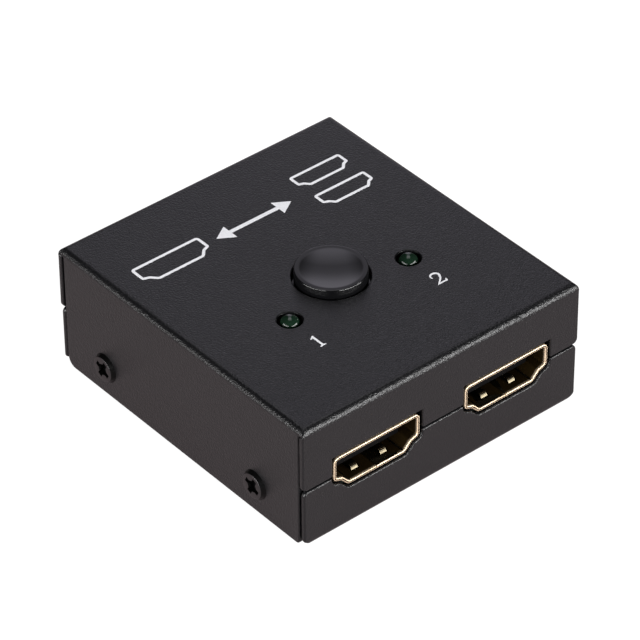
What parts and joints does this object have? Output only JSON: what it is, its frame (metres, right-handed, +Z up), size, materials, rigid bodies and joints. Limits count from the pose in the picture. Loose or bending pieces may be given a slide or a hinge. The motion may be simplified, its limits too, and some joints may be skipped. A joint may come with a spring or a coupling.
{
  "type": "hdmi switch",
  "caption": "Small black folded-steel switch box with type A receptacles in front and behind, a latching push button and indicator lamps on top.",
  "frame": {"origin": "middle of the case on the tray's underside", "axes": "+Z up through the button, +Y from the front with two receptacles to the rear with one, +X to the right seen from the front"},
  "size_m": [0.0496, 0.052, 0.0212],
  "materials": {
    "powder_coat": "fine-textured satin black powder coat on sheet steel",
    "black_steel": "black oxide, satin",
    "board": "black solder mask on glass epoxy laminate",
    "plated_steel": "nickel plated",
    "gold_plate": "polished pale gold flash",
    "black_insulator": "moulded, satin",
    "gloss_black": "moulded, high gloss",
    "white_nylon": "moulded, satin",
    "bronze": "rolled strip",
    "tinned": "bright tin",
    "green_epoxy": "cast, clear gloss",
    "ceramic": "fired, satin"
  },
  "bodies": {
    "case": {"top_cover": "powder_coat", "bottom_tray": "powder_coat", "cover_screws": "black_steel", "circuit_board": "board", "board_standoffs": "plated_steel", "board_screws": "plated_steel", "port_1_shell": "gold_plate", "port_2_shell": "gold_plate", "port_3_shell": "gold_plate", "port_1_insulator": "black_insulator", "port_2_insulator": "black_insulator", "port_3_insulator": "black_insulator", "port_1_contacts": "gold_plate", "port_2_contacts": "gold_plate", "port_3_contacts": "gold_plate", "switch_base": "black_insulator", "switch_housing": "black_insulator", "switch_spring": "plated_steel", "switch_terminals": "tinned", "switch_latch_pin": "plated_steel", "led_1_lens": "green_epoxy", "led_2_lens": "green_epoxy", "led_1_leads": "tinned", "led_2_leads": "tinned", "signal_switch_chip": "black_insulator", "surge_arrays": "black_insulator", "chip_capacitors": "ceramic", "chip_resistors": "black_insulator"},
    "button": {"button_cap": "gloss_black", "switch_plunger": "white_nylon", "switch_bridges": "bronze"}
  },
  "joints": [
    {"name": "button_press", "type": "slide", "parent": "case", "child": "button", "axis": [0, 0, -1], "range_m": [0, 0.0013], "stiffness_N_per_m": 200, "springref_m": -0.005, "deforming": ["switch_spring"]}
  ]
}
